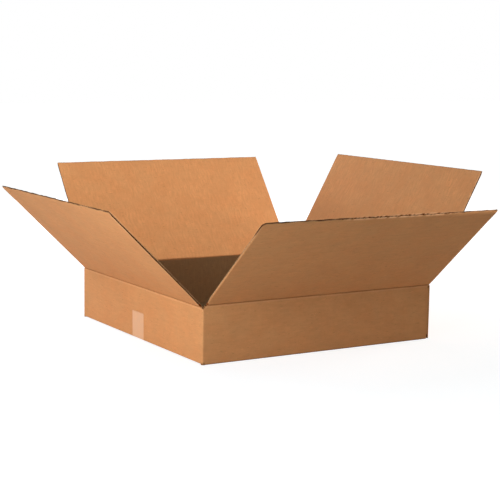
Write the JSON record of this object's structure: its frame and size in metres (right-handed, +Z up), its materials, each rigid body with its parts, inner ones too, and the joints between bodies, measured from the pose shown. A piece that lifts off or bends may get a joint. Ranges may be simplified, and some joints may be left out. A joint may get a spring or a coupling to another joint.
{
  "type": "shallow cardboard box",
  "caption": "Shallow square corrugated shipping box standing open, with hinged top flaps leaning outward, a glued corner lap and a taped bottom seam.",
  "frame": {"origin": "on the table, under the middle of the taped bottom", "axes": "X along the front wall to the right, Y away from the front wall, Z up"},
  "size_m": [0.8226, 0.861, 0.329],
  "materials": {
    "kraft_board": "unprinted kraft liner, matt",
    "tape_film": "thin tan film tape, slight gloss"
  },
  "bodies": {
    "carton": {"carton_body": "kraft_board", "bottom_tape": "tape_film"},
    "front_flap": {"front_outer_flap": "kraft_board"},
    "back_flap": {"back_outer_flap": "kraft_board"},
    "left_flap": {"left_inner_flap": "kraft_board"},
    "right_flap": {"right_inner_flap": "kraft_board"}
  },
  "joints": [
    {"name": "front_flap_fold", "type": "hinge", "parent": "carton", "child": "front_flap", "pos_m": [0, -0.2559, 0.10955], "axis": [1, 0, 0], "range_deg": [-139, 64]},
    {"name": "back_flap_fold", "type": "hinge", "parent": "carton", "child": "back_flap", "pos_m": [0, 0.2559, 0.10955], "axis": [-1, 0, 0], "range_deg": [-127, 76]},
    {"name": "left_flap_fold", "type": "hinge", "parent": "carton", "child": "left_flap", "pos_m": [-0.2559, 0, 0.10555], "axis": [0, -1, 0], "range_deg": [-135.6, 67.4]},
    {"name": "right_flap_fold", "type": "hinge", "parent": "carton", "child": "right_flap", "pos_m": [0.2559, 0, 0.10555], "axis": [0, 1, 0], "range_deg": [-119.4, 83.6]}
  ]
}
